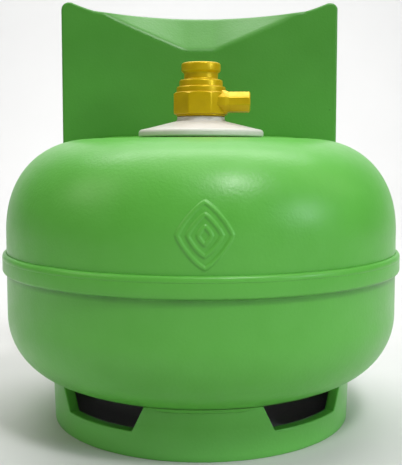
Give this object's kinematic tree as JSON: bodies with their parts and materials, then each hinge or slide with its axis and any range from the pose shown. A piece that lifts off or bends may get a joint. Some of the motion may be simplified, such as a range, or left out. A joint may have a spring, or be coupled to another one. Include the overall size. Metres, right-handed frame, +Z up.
{
  "type": "propane tank",
  "caption": "Squat steel gas cylinder with a lapped girth seam, a flat upright valve guard bent back as a grip, a brass valve and a notched foot ring.",
  "frame": {"origin": "on the vessel axis, at the floor the foot ring stands on", "axes": "+Z up along the vessel axis; the front with the raised mark faces -Y; the valve guard stands at +Y"},
  "size_m": [0.2656, 0.2656, 0.287],
  "materials": {
    "green_paint": "satin stoved enamel",
    "bare_steel": "machined and welded",
    "white_plastic": "moulded satin",
    "valve_brass": "forged, yellow lacquered",
    "pin_steel": "turned",
    "spring_steel": "drawn wire",
    "seal_rubber": "moulded"
  },
  "bodies": {
    "tank": {"upper_shell": "green_paint", "lower_shell": "green_paint", "girth_weld": "green_paint", "foot_ring": "green_paint", "foot_weld_front": "green_paint", "foot_weld_right": "green_paint", "foot_weld_back": "green_paint", "foot_weld_left": "green_paint", "guard_plate": "green_paint", "guard_weld_front": "green_paint", "guard_weld_back": "green_paint", "valve_bung": "bare_steel", "bung_weld": "bare_steel", "neck_collar": "white_plastic", "valve_body": "valve_brass", "spring_retainer": "valve_brass", "relief_retainer": "valve_brass", "pin_spring": "spring_steel", "relief_spring": "spring_steel", "outlet_seal": "seal_rubber"},
    "pin": {"valve_pin": "pin_steel", "pin_seal": "seal_rubber"},
    "relief": {"relief_poppet": "pin_steel", "relief_seal": "seal_rubber"}
  },
  "joints": [
    {"name": "pin_press", "type": "slide", "parent": "tank", "child": "pin", "axis": [0, 0, -1], "range_m": [0, 0.0035], "stiffness_N_per_m": 2000, "springref_m": -0.005, "deforming": ["pin_spring"]},
    {"name": "relief_lift", "type": "slide", "parent": "tank", "child": "relief", "axis": [0.9978, -0.0663, 0], "range_m": [0, 0.002], "stiffness_N_per_m": 4000, "springref_m": -0.004, "deforming": ["relief_spring"]}
  ]
}
